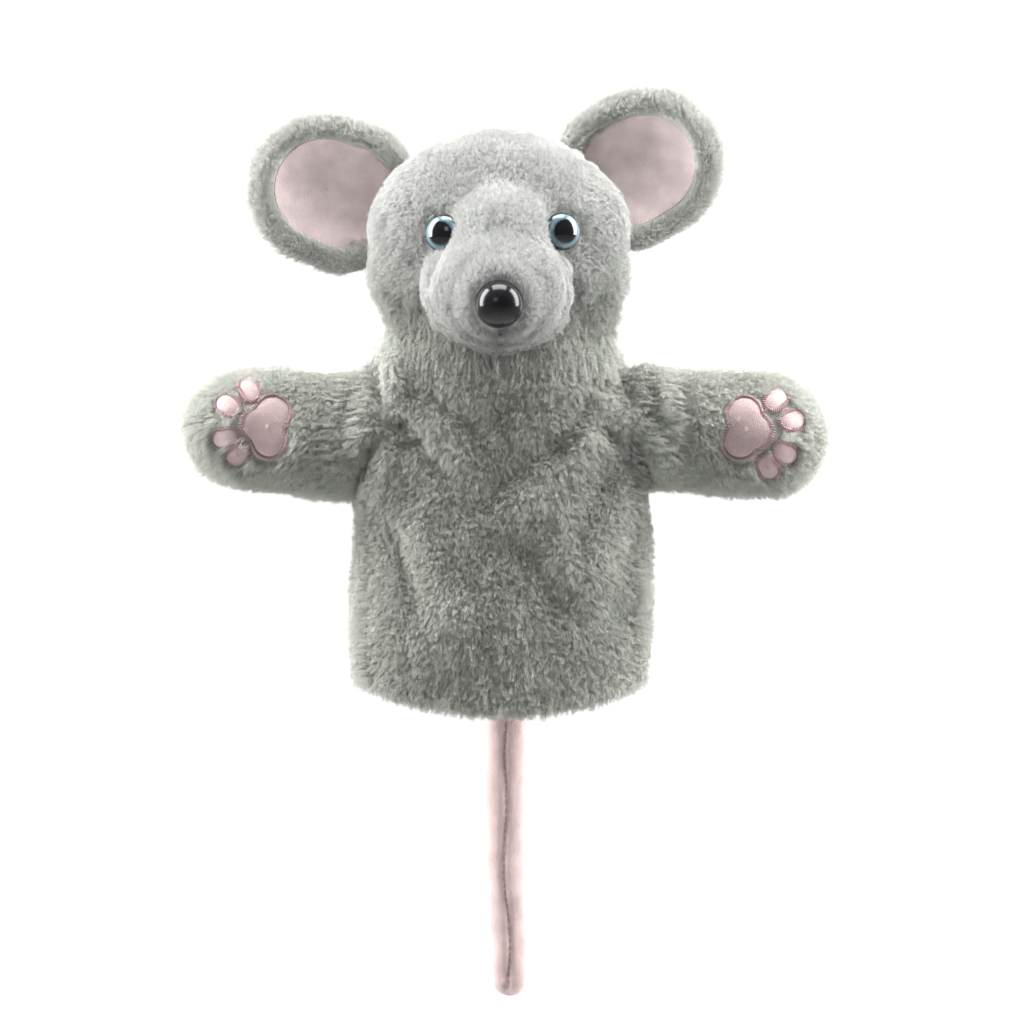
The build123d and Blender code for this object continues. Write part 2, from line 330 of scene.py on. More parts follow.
def thicken(piece, outer, inner):
    """Gives a skin its fabric thickness, inwards, with the backing as its inside. The vertex
    group "pile" holds the outside, where the hair grows."""
    outside = len(piece.data.vertices)
    piece.vertex_groups.new(name="pile").add(range(outside), 1.0, "REPLACE")
    piece.vertex_groups.new(name="inside")
    piece.data.materials.append(outer)
    piece.data.materials.append(inner)
    solid = piece.modifiers.new("fabric", "SOLIDIFY")
    solid.thickness = FABRIC * MM
    solid.offset = -1
    solid.material_offset = 1
    solid.material_offset_rim = 1
    solid.shell_vertex_group = "inside"
    baked(piece)
    piece.vertex_groups["pile"].remove(list(range(outside, len(piece.data.vertices))))


# ---- materials ----
def shade(colour, factor):
    return tuple(min(c * factor, 1.0) for c in colour)


def between(colour, dark, bright):
    """The stops of a ramp from a darker to a brighter shade of a colour."""
    return [(0.3, shade(colour, dark)), (0.7, shade(colour, bright))]


class Look:
    """A new material, with the few kinds of node that these looks are made of."""

    def __init__(self, name):
        self.material = bpy.data.materials.new(name)
        self.material.use_nodes = True
        self.tree = self.material.node_tree
        self.shader = self.tree.nodes["Principled BSDF"]

    def give(self, node, inputs):
        """Sets a node's inputs, each to a constant or from another node's output."""
        for key, value in inputs.items():
            if isinstance(value, bpy.types.NodeSocket):
                self.tree.links.new(value, node.inputs[key])
            else:
                node.inputs[key].default_value = value

    def add(self, kind, inputs, output=0):
        """A new node's output."""
        node = self.tree.nodes.new("ShaderNode" + kind)
        self.give(node, inputs)
        return node.outputs[output]

    def calculate(self, kind, operation, inputs, output=0):
        """The result of a Math or VectorMath node."""
        node = self.tree.nodes.new("ShaderNode" + kind)
        node.operation = operation
        self.give(node, inputs)
        return node.outputs[output]

    def place(self):
        """The place on the object."""
        return self.add("TexCoord", {}, "Object")

    def noise(self, scale, detail=3.0, stretch=(1, 1, 1)):
        """Noise that is fixed to the object; scale is in features per metre."""
        where = self.add("Mapping", {"Scale": stretch, "Vector": self.place()})
        return self.add("TexNoise", {"Scale": scale, "Detail": detail, "Vector": where}, "Fac")

    def ramp(self, value, stops):
        """The colour that a value picks from stops of place and colour."""
        node = self.tree.nodes.new("ShaderNodeValToRGB")
        elements = node.color_ramp.elements
        for element, (position, colour) in ((elements[0], stops[0]), (elements[1], stops[-1])):
            element.position = position
            element.color = (*colour, 1)
        for position, colour in stops[1:-1]:
            elements.new(position).color = (*colour, 1)
        self.give(node, {"Fac": value})
        return node.outputs["Color"]

    def multiply(self, first, second):
        """The product of two colours."""
        node = self.tree.nodes.new("ShaderNodeMix")
        node.data_type = "RGBA"
        node.blend_type = "MULTIPLY"
        self.give(node, {"Factor": 1, "A": first, "B": second})
        return node.outputs["Result"]

    def bumps(self, height, distance, strength=1.0, invert=False):
        """Fine relief on the surface; distance is in metres."""
        node = self.tree.nodes.new("ShaderNodeBump")
        node.invert = invert
        self.give(node, {"Strength": strength, "Distance": distance, "Height": height})
        self.give(self.shader, {"Normal": node.outputs["Normal"]})

    def finished(self, colour, roughness, others=None):
        """Sets the shader's own inputs, and hands over the material."""
        self.give(self.shader, {"Base Color": colour, "Roughness": roughness, **(others or {})})
        return self.material


def plush_material(name, colour):
    """The skin under the pile: mottled, with fine streaks like lying hair."""
    look = Look(name)
    wide = look.noise(70, 2)
    streaks = look.noise(900, 3, (1, 1, 0.25))
    half = look.calculate("Math", "MULTIPLY_ADD", {0: streaks, 1: 0.6, 2: -0.3})
    total = look.calculate("Math", "ADD", {0: wide, 1: half})
    total.node.use_clamp = True
    stops = [(0.25, shade(colour, 0.6)), (0.5, shade(colour, 0.85)), (0.78, shade(colour, 1.05))]
    look.bumps(streaks, 0.0012, 0.9)
    return look.finished(look.ramp(total, stops), 0.85, {"Sheen Weight": 0.15, "Specular IOR Level": 0.2})


def hair_material(name, colour, low=None, low_z=0.0, high_z=1.0):
    """The pile: darker at the root and paler at the tip, with mottled patches. Where low is given, the
    colour fades to it downwards, between two heights in millimetres, as painted shade towards the underside."""
    look = Look(name)
    tips = [(0.0, shade(colour, 0.66)), (0.5, colour), (1.0, shade(colour, 1.24))]
    along = look.ramp(look.add("HairInfo", {}, "Intercept"), tips)
    patches = look.ramp(look.noise(55, 3), [(0.3, (0.92, 0.92, 0.915)), (0.7, (1.06, 1.06, 1.06))])
    one_strand = look.add("HairInfo", {}, "Random")
    strands = look.ramp(one_strand, [(0.0, (0.88, 0.88, 0.88)), (1.0, (1.08, 1.08, 1.08))])
    result = look.multiply(look.multiply(along, patches), strands)
    # painted shade: the pile darkens downwards towards the low colour
    if low:
        height = look.add("SeparateXYZ", {"Vector": look.place()}, "Z")
        share = look.tree.nodes.new("ShaderNodeMapRange")
        share.interpolation_type = "SMOOTHSTEP"
        look.give(share, {"From Min": low_z * MM, "From Max": high_z * MM, "Value": height})
        painted_shade_ratio = tuple(a / b for a, b in zip(low, colour))
        result = look.multiply(result, look.ramp(share.outputs["Result"], [(0.0, painted_shade_ratio), (1.0, (1, 1, 1))]))
    return look.finished(result, 0.5, {"Specular IOR Level": 0.35})


def velboa_material(name, colour, sheen=0.5):
    """Thin short-pile fabric with a fine nap."""
    look = Look(name)
    shades = look.ramp(look.noise(110, 3), between(colour, 0.86, 1.1))
    look.bumps(look.noise(2200, 4, (1, 1, 0.4)), 0.0005, 0.7)
    return look.finished(shades, 0.8, {"Sheen Weight": sheen, "Specular IOR Level": 0.2})


def thread_material(name, colour):
    """Twisted sewing thread."""
    look = Look(name)
    twist = look.ramp(look.noise(3000, 2), between(colour, 0.7, 1.25))
    return look.finished(twist, 0.5, {"Sheen Weight": 0.3})


def woven_material(name, colour):
    """Knitted polyester backing, with a fine grid of loops."""
    look = Look(name)
    grid = look.add("TexVoronoi", {"Scale": 1100, "Randomness": 0.25, "Vector": look.place()}, "Distance")
    look.bumps(grid, 0.0003, 0.5, invert=True)
    return look.finished(look.ramp(grid, [(0.0, shade(colour, 1.15)), (0.7, shade(colour, 0.6))]), 0.9)


def wadding_material():
    """Loose white polyester fibre."""
    look = Look("wadding")
    tufts = look.noise(250, 6)
    look.bumps(tufts, 0.002)
    return look.finished(look.ramp(tufts, [(0.3, (0.72, 0.72, 0.7)), (0.7, (0.93, 0.93, 0.91))]), 1.0)


def polished_black():
    """Glossy moulded plastic with the faintest orange peel."""
    look = Look("nose_black")
    peel = look.noise(160, 2)
    look.bumps(peel, 0.0004, 0.04)
    shine = {"Specular IOR Level": 0.16, "Coat Weight": 0.22, "Coat Roughness": 0.05}
    black = look.ramp(peel, [(0.3, (0.006, 0.006, 0.007)), (0.7, (0.011, 0.011, 0.013))])
    return look.finished(black, 0.2, shine)


def moulded_white():
    """The plastic of the lock washers inside the head."""
    look = Look("washer_plastic")
    grain = look.ramp(look.noise(400, 3), [(0.3, (0.74, 0.74, 0.71)), (0.7, (0.82, 0.82, 0.79))])
    return look.finished(grain, 0.45)


def eye_material(name, pupil_r, iris_r, eye_r):
    """A black pupil, a bright teal ring and a dark rim under a polished dome. The rings
    are set by the distance from the eye's own Z axis."""
    look = Look(name)
    flat = look.calculate("VectorMath", "MULTIPLY", {0: look.place(), 1: (1, 1, 0)}, "Vector")
    length = look.calculate("VectorMath", "LENGTH", {0: flat}, "Value")
    share = look.calculate("Math", "DIVIDE", {0: length, 1: eye_r * MM})
    stops = [
        (0.0, (0.004, 0.004, 0.005)),
        (pupil_r / eye_r - 0.02, (0.006, 0.006, 0.008)),
        (pupil_r / eye_r + 0.02, (0.05, 0.085, 0.10)),
        ((pupil_r + iris_r) / 2 / eye_r, (0.13, 0.21, 0.235)),
        (iris_r / eye_r - 0.03, (0.09, 0.15, 0.17)),
        (iris_r / eye_r + 0.01, (0.015, 0.02, 0.024)),
        (1.0, (0.012, 0.014, 0.016)),
    ]
    shine = {"Specular IOR Level": 0.25, "Coat Weight": 0.6, "Coat Roughness": 0.03}
    return look.finished(look.ramp(share, stops), 0.12, shine)


GREY = (0.55, 0.56, 0.52)
SILVER = (0.51, 0.515, 0.50)
EAR_GREY = (0.60, 0.605, 0.575)
PINK = (0.92, 0.76, 0.76)
PAD_PINK = (0.44, 0.33, 0.33)
TAIL_PINK = (0.55, 0.42, 0.41)
MAUVE = (0.38, 0.235, 0.25)
BROWN = (0.07, 0.05, 0.045)
BACKING = (0.30, 0.30, 0.29)

grey_plush = plush_material("body_plush", GREY)
silver_plush = plush_material("head_plush", SILVER)
ear_plush = plush_material("ear_plush", EAR_GREY)
grey_hair = hair_material("body_pile", GREY)
# painted shade: the head's pile darkens downwards on the cheeks and under the muzzle
cheek_hair = hair_material("cheek_pile", SILVER, shade(GREY, 0.72), 162, 203)
face_hair = hair_material("face_pile", SILVER, shade(SILVER, 0.62), 150, 170)
ear_hair = hair_material("ear_pile", EAR_GREY)
ear_pink = velboa_material("ear_velboa", PINK, 0.7)
pad_pink = velboa_material("pad_velboa", PAD_PINK)
tail_pink = velboa_material("tail_velboa", TAIL_PINK)
mauve_thread = thread_material("mauve_thread", MAUVE)
brown_thread = thread_material("grey_thread", BROWN)
backing = woven_material("lining", BACKING)
wadding = wadding_material()
nose_black = polished_black()
washer_white = moulded_white()


# ---- pile ----
STAND = 0.5  # the share of a hair's length that stands off the skin


HAIR_RADIUS = 0.10
BODY_PILE = 6.1  # lengths of the pile
HEM_PILE = 4.0
FACE_PILE = 4.2
HEAD_PILE = 5.6
EAR_PILE = 5.0


def grow_pile(piece, hair, length, density, strands, comb, seed):
    """Plush pile as hair on the outside of a piece. The density is in parents per square
    millimetre, each with some strands, and comb is the way the pile lies."""
    area = sum(p.area for p in piece.data.polygons if p.material_index == 0) / MM**2
    piece.data.materials.append(hair)
    piece.modifiers.new("pile", "PARTICLE_SYSTEM")
    system = piece.particle_systems[-1]
    system.seed = seed
    pile = system.settings
    pile.type = "HAIR"
    pile.use_advanced_hair = True
    pile.count = int(area * density)
    pile.hair_step = 3
    pile.emit_from = "FACE"
    pile.use_emit_random = True
    pile.distribution = "RAND"
    speed = length * MM / 4  # Blender draws a hair four times as long as its start speed
    pile.normal_factor = STAND * speed
    pile.factor_random = 0.2 * speed
    pile.object_align_factor = Vector(comb) * speed
    pile.material = len(piece.data.materials)
    pile.child_type = "INTERPOLATED"
    pile.rendered_child_count = strands
    pile.child_percent = 2
    pile.child_length = 1.0
    pile.clump_factor = 0.2
    pile.clump_shape = 0.1
    pile.roughness_1 = 0.0009
    pile.roughness_1_size = 0.006
    pile.roughness_2 = 0.0007
    pile.roughness_2_size = 0.002
    pile.roughness_endpoint = 0.0006
    pile.root_radius = HAIR_RADIUS
    pile.tip_radius = HAIR_RADIUS * 0.35
    pile.radius_scale = MM
    pile.render_step = 3
    pile.display_step = 2
    system.vertex_group_density = "pile"


def bare_patch(piece, centre, radius, soft):
    """Thins the pile out round a point, such as behind an eye."""
    far = np.linalg.norm(points_of(piece.data) - np.asarray(centre), axis=1)
    for i in np.nonzero(far < radius + soft)[0]:
        weight = float(smooth_step(far[i], radius, radius + soft))
        piece.vertex_groups["pile"].add([int(i)], weight, "REPLACE")


# ---- glove ----
HEM_RADIUS = 144.0
HEM_FADE = 70.0
HEM_HALF = (57, 31.5)
HEM_SQUARENESS = 2.5
BODY_X = -0.5


def hem_lift(points):
    """How far the curved hem lifts each point, fading out up the body."""
    x = np.clip(points[:, 0], -75, 75)
    lift = HEM_RADIUS - np.sqrt(HEM_RADIUS**2 - x**2)
    return lift * (1 - smooth_step(points[:, 2], 0, HEM_FADE))


def torso_rings():
    """Level rings of the glove's body and neck, from below the hem up into the head."""
    levels = [
        (-14, 56, 31, 2.5),
        (0, 57, 31.5, 2.5),
        (22, 58.3, 32, 2.5),
        (50, 58.3, 31.5, 2.5),
        (76, 56.5, 30.5, 2.45),
        (100, 57, 30, 2.4),
        (122, 57, 28.5, 2.4),
        (138, 54.5, 27.5, 2.3),
        (148, 50, 26, 2.2),
        (156, 46, 25, 2.1),
        (164, 44, 24.5, 2.0),
        (174, 42, 24, 2.0),
    ]
    points = []
    around = 64
    for z, half_x, half_y, power in levels:
        points.extend(super_ring(BODY_X, 0, z, half_x, half_y, power, around))
    return points, ring_faces(len(levels), around)


def arm_tube(side):
    """A soft sleeve along X, thicker at the paw, with a rounded tip. Each arm leans its
    own way: the right one rises a little towards the paw and the left one drops."""
    if side > 0:
        tip, end_z, end_half = PAW_TIP - 0.5, 116, 23.6
        rows = [(30, 118.5, 23, 19), (54, 118.8, 24, 20), (70, 118.2, 23.6, 19.8)]
        rows += [(88, 117, 23.4, 20), (104, 116.4, 23.8, 20.8)]
    else:
        tip, end_z, end_half = PAW_TIP - 2.5, 119, 22
        rows = [(30, 115, 23, 19), (54, 115, 24.2, 20), (70, 115.4, 23.8, 19.8)]
        rows += [(88, 116.8, 22.9, 20), (104, 118.4, 22.5, 20.6)]
    rounding = 23
    for k in range(1, 12):
        turn = math.pi / 2 * k / 11.5
        x = tip - rounding + rounding * math.sin(turn)
        rows.append((x, end_z, end_half * math.cos(turn) + 0.4, 21 * math.cos(turn) + 0.4))
    around = 40
    points = []
    for x, middle, half_z, half_y in rows:
        for t in turns(around):
            points.append((side * x, half_y * math.cos(t), middle - 0.5 + half_z * math.sin(t)))
    return points, ring_faces(len(rows), around)


def fold(points, start, end, wide, deep):
    """A soft crease on the front between two places given as x and z."""
    x, _, z = points.T
    start, end = np.array(start, float), np.array(end, float)
    way = end - start
    length = np.linalg.norm(way)
    way = way / length
    along = ((x - start[0]) * way[0] + (z - start[1]) * way[1]) / length
    off = (x - start[0]) * -way[1] + (z - start[1]) * way[0]
    reach = smooth_step(along, -0.15, 0.2) * (1 - smooth_step(along, 0.75, 1.15))
    return deep * reach * (bump(off, 0, wide) - 0.55 * bump(off, wide * 2.0, wide * 1.3))


FRONT_FOLDS = (
    # the armholes
    ((-51, 147), (-50, 127), 3.6, 8.0),
    ((-53, 113), (-60, 90), 3.4, 7.0),
    ((50, 149), (54, 126), 3.6, 7.0),
    ((56, 115), (62, 94), 3.6, 7.0),
    ((60, 138), (67, 112), 3.0, 4.0),
    ((-62, 134), (-67, 108), 3.2, 4.0),
    ((-49, 128), (-36, 133), 2.2, 2.4),
    ((-48, 118), (-34, 125), 2.4, 2.6),
    ((-46, 108), (-33, 117), 2.4, 2.6),
    ((48, 132), (36, 138), 2.2, 2.4),
    ((50, 112), (38, 119), 2.6, 2.8),
    # slack across the chest and down the sides
    ((-44, 122), (-20, 96), 4.6, 4.2),
    ((-30, 132), (-8, 118), 3.6, 2.2),
    ((38, 134), (22, 104), 4.2, 2.8),
    ((28, 116), (-10, 86), 6.6, 2.6),
    ((44, 100), (30, 66), 5.4, 3.4),
    ((-47, 80), (-33, 32), 5.2, 4.6),
    ((-36, 62), (-20, 30), 5.0, 1.8),
    ((50, 70), (47, 28), 4.4, 1.8),
    ((10, 70), (26, 40), 6.0, 1.6),
    # across the sleeves
    ((-70, 140), (-76, 108), 3.2, 1.8),
    ((74, 138), (78, 108), 3.4, 1.8),
    ((-82, 98), (-96, 92), 3.0, 1.4),
)


def body_folds(points):
    """Slack in the fabric: creases at the armholes, soft folds across the chest and sides."""
    x, y, z = points.T
    front = smooth_step(-y, -2, 12)
    dent = np.zeros(len(points))
    for start, end, wide, deep in FRONT_FOLDS:
        dent += fold(points, start, end, wide, deep) * front
        dent += fold(points, start, end, wide, deep) * 0.5 * smooth_step(y, 4, 14)
    seam = bump(x, 0, 1.6) * smooth_step(y, 15, 24) * smooth_step(150 - z, 0, 10)
    slack = 2.0 * lattice_noise(points, 36, 11) + 1.1 * lattice_noise(points, 18, 12)
    body = smooth_step(np.abs(x), 130, 95)
    return slack * (0.3 + 0.7 * body) - dent - 2.2 * seam


def clumps(points, seed, lying=(1.0, 1.0, 1.5)):
    """Tufts of pile, longer the way that the pile lies."""
    stretched = points / np.asarray(lying)
    return 0.34 * lattice_noise(stretched, 7.0, seed) + 0.12 * lattice_noise(stretched, 3.6, seed + 1)


def push_out(piece, amount):
    mesh = piece.data
    set_points(mesh, points_of(mesh) + normals_of(mesh) * amount[:, None])


def glove_skin():
    """The body and both arms as one skin, before it is cut into its pieces."""
    piece = one_skin("glove_skin", [torso_rings()] + [arm_tube(side) for side in SIDES.values()])
    push_out(piece, body_folds(points_of(piece.data)))
    push_out(piece, clumps(points_of(piece.data), 21))
    cut_away(piece.data, *over(Z, 0))
    points = points_of(piece.data)
    points[:, Z] += hem_lift(points)
    set_points(piece.data, points)
    return piece


def glove_pieces(skin):
    """Cuts the skin at its seams."""
    inner = [under(X, ARMHOLE_X), over(X, -ARMHOLE_X)]
    body = [*inner, under(Z, COLLAR_Z)]
    planes = {
        "body_front_plush": [*body, under(Y, 0)],
        "collar": [*inner, over(Z, COLLAR_Z), under(Z, NECK_SEAM_Z)],
        "neck": [*inner, over(Z, NECK_SEAM_Z), under(Z, NECK_TOP_Z)],
    }
    for name, side in SIDES.items():
        planes[f"body_back_plush_{name}"] = [*body, over(Y, 0), beyond(side, 0)]
        planes[f"sleeve_{name}"] = [beyond(side, ARMHOLE_X), within(side, SLEEVE_X)]
        planes[f"arm_front_plush_{name}"] = [beyond(side, SLEEVE_X), under(Y, 0)]
        planes[f"arm_back_plush_{name}"] = [beyond(side, SLEEVE_X), over(Y, 0)]
    return cut_up(skin, planes)


def surface_of(piece):
    """The piece's surface for finding points on it, in metres."""
    return BVHTree.FromObject(piece, bpy.context.evaluated_depsgraph_get())


def touch(tree, start, direction):
    """The first point and normal on a surface from a start, in millimetres, or None."""
    hit, normal, _, _ = tree.ray_cast(Vector(start) * MM, Vector(direction))
    if hit is None:
        return None
    return np.array(hit) / MM, np.array(normal)


# ---- head ----
def head_skin():
    """Skull, cheeks, muzzle and the short skirt that covers the neck seam, as one skin."""
    skirt = []
    for z, a, b in ((156, 47.5, 27.5), (163, 48.5, 28), (172, 48, 27)):
        skirt.extend(super_ring(BODY_X, 0, z, a, b, 2.1, 48))
    solids = [
        ellipsoid((HEAD_X - 0.5, 2, 199), (52.5, 40.5, 42)),
        ellipsoid((HEAD_X - 0.5, 0, 183), (53.5, 35.5, 27)),
        (skirt, ring_faces(3, 48)),
        ellipsoid((HEAD_X + 0.5, -30, 190), (24.5, 27.5, 27.5)),
        ellipsoid((HEAD_X, -34, 176), (31, 27, 25)),
        ellipsoid((HEAD_X, -50, 174), (26.5, 24, 22.5)),
        ellipsoid((HEAD_X, NOSE[1] + 13, 170.5), (18, 16, 16)),
    ]
    piece = one_skin("head_skin", solids)
    bridge = piece.vertex_groups.new(name="bridge")
    points = points_of(piece.data)
    x, y, z = points.T
    soft = smooth_step(-y, 24, 34) * smooth_step(z, 181, 193) * (1 - smooth_step(np.abs(x - HEAD_X), 17, 30))
    for i in np.nonzero(soft > 0.01)[0]:
        bridge.add([int(i)], float(soft[i]), "REPLACE")
    soften(piece, 70, "bridge")
    points = points_of(piece.data)
    x, y, z = points.T
    front = smooth_step(-y, 10, 26)
    dent = 2.4 * bump(z, 161, 3.2) * smooth_step(np.abs(x), 25, 40)
    for side in SIDES.values():
        crease = fold(points, (side * 21, 199), (side * 31, 172), 2.6, 2.2)
        dent += crease * front * smooth_step(60 + y, 0, 14)
        socket = np.hypot(x - HEAD_X - side * 25.5, z - 199)
        dent += 2.0 * np.exp(-((socket / 9.5) ** 4)) * front
        cheek = fold(points, (side * 44, 176), (side * 30, 160), 3.4, 1.8)
        dent += cheek * front
    dent += 1.5 * bump(x - HEAD_X, 0, 2.6) * bump(z, 151, 8) * smooth_step(-y, 40, 55)
    dent += 3.0 * np.exp(-(np.linalg.norm(points - NOSE, axis=1) / 10.5) ** 4)
    slack = 0.9 * lattice_noise(points, 30, 31) + 0.5 * lattice_noise(points, 14, 32)
    push_out(piece, slack - dent)
    points = points_of(piece.data)
    near_face = smooth_step(-points[:, Y], 30, 60)
    push_out(piece, clumps(points, 41, (1, 1, 1.2)) * (0.7 - 0.4 * near_face))
    open_skirt(piece.data)
    return piece


def open_skirt(mesh):
    """Opens the underside of the head behind the muzzle, where the neck goes in."""
    with edited(mesh) as bm:
        split(bm, *under(Z, SKIRT_LOW), clear=False)
        split(bm, *under(Y, SKIRT_FRONT), clear=False)
        below = []
        for face in bm.faces:
            middle = face.calc_center_median()
            if middle.z < SKIRT_LOW * MM and middle.y > SKIRT_FRONT * MM:
                below.append(face)
        bmesh.ops.delete(bm, geom=below, context="FACES")


def head_wadding(skull):
    """The stuffing: the head's shape drawn in, flat underneath, with a hole for a finger."""
    piece = cut_piece(skull, "head_wadding", [])
    push_out(piece, np.full(len(piece.data.vertices), -FABRIC - 1.2))
    soften(piece, 12)
    push_out(piece, 0.8 * lattice_noise(points_of(piece.data), 9, 91))
    with edited(piece.data) as bm:
        split(bm, *over(Z, WADDING_LOW))
        bmesh.ops.holes_fill(bm, edges=[e for e in bm.edges if e.is_boundary], sides=0)
    low, high = node_box("finger_tube")
    x, y, _ = (low + high) / 2
    rows = [super_ring(x, y, z, FINGER_R, FINGER_R, 2, 32) for z in (100, high[2] + 1)]
    drill = mesh_piece("drill", rows[0] + rows[1], ring_faces(2, 32))
    hole = piece.modifiers.new("hole", "BOOLEAN")
    hole.object = drill
    hole.operation = "DIFFERENCE"
    hole.solver = "EXACT"
    baked(piece)
    bpy.data.objects.remove(drill)
    piece.data.shade_smooth()
    piece.data.materials.append(wadding)
    return piece


def head_pieces(skin):
    """Cuts the head at its seams."""
    low, high = node_box("head_face_panel")
    left, right, back = high[0], low[0], high[1]
    fore = [over(Z, SKIRT_TOP), under(Y, back)]
    planes = {
        "head_skirt": [under(Z, SKIRT_TOP), over(Y, SKIRT_FRONT)],
        "head_back_plush": [over(Z, SKIRT_TOP), over(Y, back)],
        "head_side_plush_left": [*fore, over(X, left)],
        "head_side_plush_right": [*fore, under(X, right)],
        "head_face_plush": [*fore, under(X, left), over(X, right)],
        "chin_plush": [under(Z, SKIRT_TOP), under(Y, SKIRT_FRONT)],
    }
    return cut_up(skin, planes)


EYE_R = 8.0
EYE_RISE = 4.8
EYE_TURN = 22.0  # degrees that each eye looks to its own side
PUPIL_R = 4.9
IRIS_R = 7.1
EYE_SHIFT = 2.8  # each eye sits this much nearer the snout than its CAD solid,
EYE_SUNK = 1.2  # this much deeper
EYE_DROP = 1.6  # and this much lower


def dome(name, radius, rise, rows=20, around=48):
    """A safety eye in its own axes: local Z points out of the face."""
    points = [(0, 0, rise)]
    for r in range(1, rows + 1):
        turn = math.pi / 2 * r / rows
        ring = radius * math.sin(turn)
        points.extend((ring * math.cos(t), ring * math.sin(t), rise * math.cos(turn)) for t in turns(around))
    lip = radius * 0.9
    points.extend((lip * math.cos(t), lip * math.sin(t), -1.2) for t in turns(around))
    faces = [(0, 1 + k, 1 + (k + 1) % around) for k in range(around)]
    for r in range(rows):
        for k in range(around):
            a, b = 1 + r * around + k, 1 + r * around + (k + 1) % around
            faces.append((a, a + around, b + around, b))
    last = 1 + rows * around
    faces.append(tuple(reversed(range(last, last + around))))
    return mesh_piece(name, points, faces)


def eyes():
    """Both eyes and the centre of each."""
    made = {}
    upright = Vector((0, 0, 1))
    for name, side in SIDES.items():
        turn = math.radians(EYE_TURN) * side
        out = Vector((math.sin(turn), -math.cos(turn), 0))
        shift = Vector((-EYE_SHIFT * side, 0, -EYE_DROP))
        centre = Vector(node_centre(f"eye_dome_{name}")) - out * EYE_SUNK + shift
        piece = dome(f"eye_{name}", EYE_R, EYE_RISE)
        turned = Matrix((upright.cross(out), upright, out)).transposed().to_4x4()
        piece.matrix_world = Matrix.Translation(centre * MM) @ turned
        piece.data.materials.append(eye_paint)
        made[name] = (piece, np.array(centre))
    return made


def nose_ball():
    piece = mesh_piece("nose_ball", *ellipsoid(NOSE, (NOSE_R, NOSE_R * 0.96, NOSE_R), 48, 72))
    piece.data.materials.append(nose_black)
    return piece


def tube_along(points, radius, around=8):
    """A round thread through points, with rounded ends."""
    points = [Vector(p) for p in points]
    rows = []
    for i, p in enumerate(points):
        ahead = points[min(i + 1, len(points) - 1)] - points[max(i - 1, 0)]
        ahead.normalize()
        sideways = Vector((0, 0, 1)) if abs(ahead.z) < 0.9 else Vector((1, 0, 0))
        across = ahead.cross(sideways).normalized()
        up = across.cross(ahead)
        r = radius * (0.45 if i in (0, len(points) - 1) else 1.0)
        for t in turns(around):
            rows.append(tuple(p + across * (r * math.cos(t)) + up * (r * math.sin(t))))
    return rows, ring_faces(len(points), around)


def joined(name, solids, material):
    """Several solids as one piece."""
    piece = mesh_piece(name, *together(solids))
    piece.data.materials.append(material)
    return piece


def mouth(head_tree):
    """A short stitch below the nose that splits into two, laid on the chin's pile."""
    def on_chin(x, z):
        found = touch(head_tree, (x, -200, z), (0, 1, 0))
        return found[0] + found[1] * 2.6

    top = NOSE[2] - NOSE_R
    fork = top - 3.4
    stem = [on_chin(HEAD_X + 1.0 * t, top - 3.4 * t) for t in np.linspace(0, 1, 6)]
    left = [on_chin(HEAD_X + 1.0 + 2.6 * t, fork - 1.2 * t**0.7) for t in np.linspace(0, 1, 7)]
    right = [on_chin(HEAD_X + 1.0 - 3.8 * t, fork - 2.2 * t**0.8) for t in np.linspace(0, 1, 7)]
    return joined("mouth_thread", [tube_along(line, 0.8) for line in (stem, left, right)], brown_thread)


# ---- ears ----
EAR_R = 31.0
EAR_ROLL = 4.9  # radius of the rolled rim
EAR_DEPTH = 6.2  # how far the plush back bulges behind the lining
EAR_AROUND = 96
EAR_CREASES = ((2.5, 0.9, 0.25), (-2.2, 0.8, 0.3), (0.5, 1.0, 0.35), (-0.7, 0.7, 0.3))  # angle, depth, width


@functools.cache
def ear_axes(name):
    """The ear's centre, the direction of its root and how far the root is."""
    hinge, _ = joint_place(f"ear_fold_{name}")
    low, high = node_box(f"ear_back_{name}")
    x = high[0] - EAR_R if SIDES[name] > 0 else low[0] + EAR_R
    centre = np.array([x, hinge[1], high[2] - EAR_R])
    root = hinge - centre
    reach = np.linalg.norm(root)
    return centre, root / reach, reach


def ear_point(name, theta, r, w):
    """A point of the ear: theta from the root's direction, r outwards, w to the front."""
    centre, root, reach = ear_axes(name)
    across = np.array([-root[2], 0, root[0]])
    s = r * math.cos(theta)
    cup = 0.0035 * (s - reach) ** 2 - 1.5 if s < reach else -1.5
    wave = 1.0 * math.sin(2 * theta + 0.6 * SIDES[name]) * r / EAR_R
    return centre + root * s + across * (r * math.sin(theta)) + np.array([0, -(w + cup + wave), 0])


def near_root(theta, width, power):
    """1 at the ear's root, falling to 0 round the ear."""
    return math.exp(-((abs(math.remainder(theta, 2 * math.pi)) / width) ** power))


def ear_reach(theta):
    """The ear's outline: round, and drawn out a little to where it meets the head."""
    return EAR_R + 5.5 * near_root(theta, 1.25, 6)


def rim_size(theta):
    """The rolled rim thins out near the ear's root."""
    return EAR_ROLL * (1 - 0.85 * near_root(theta, 0.55, 4))


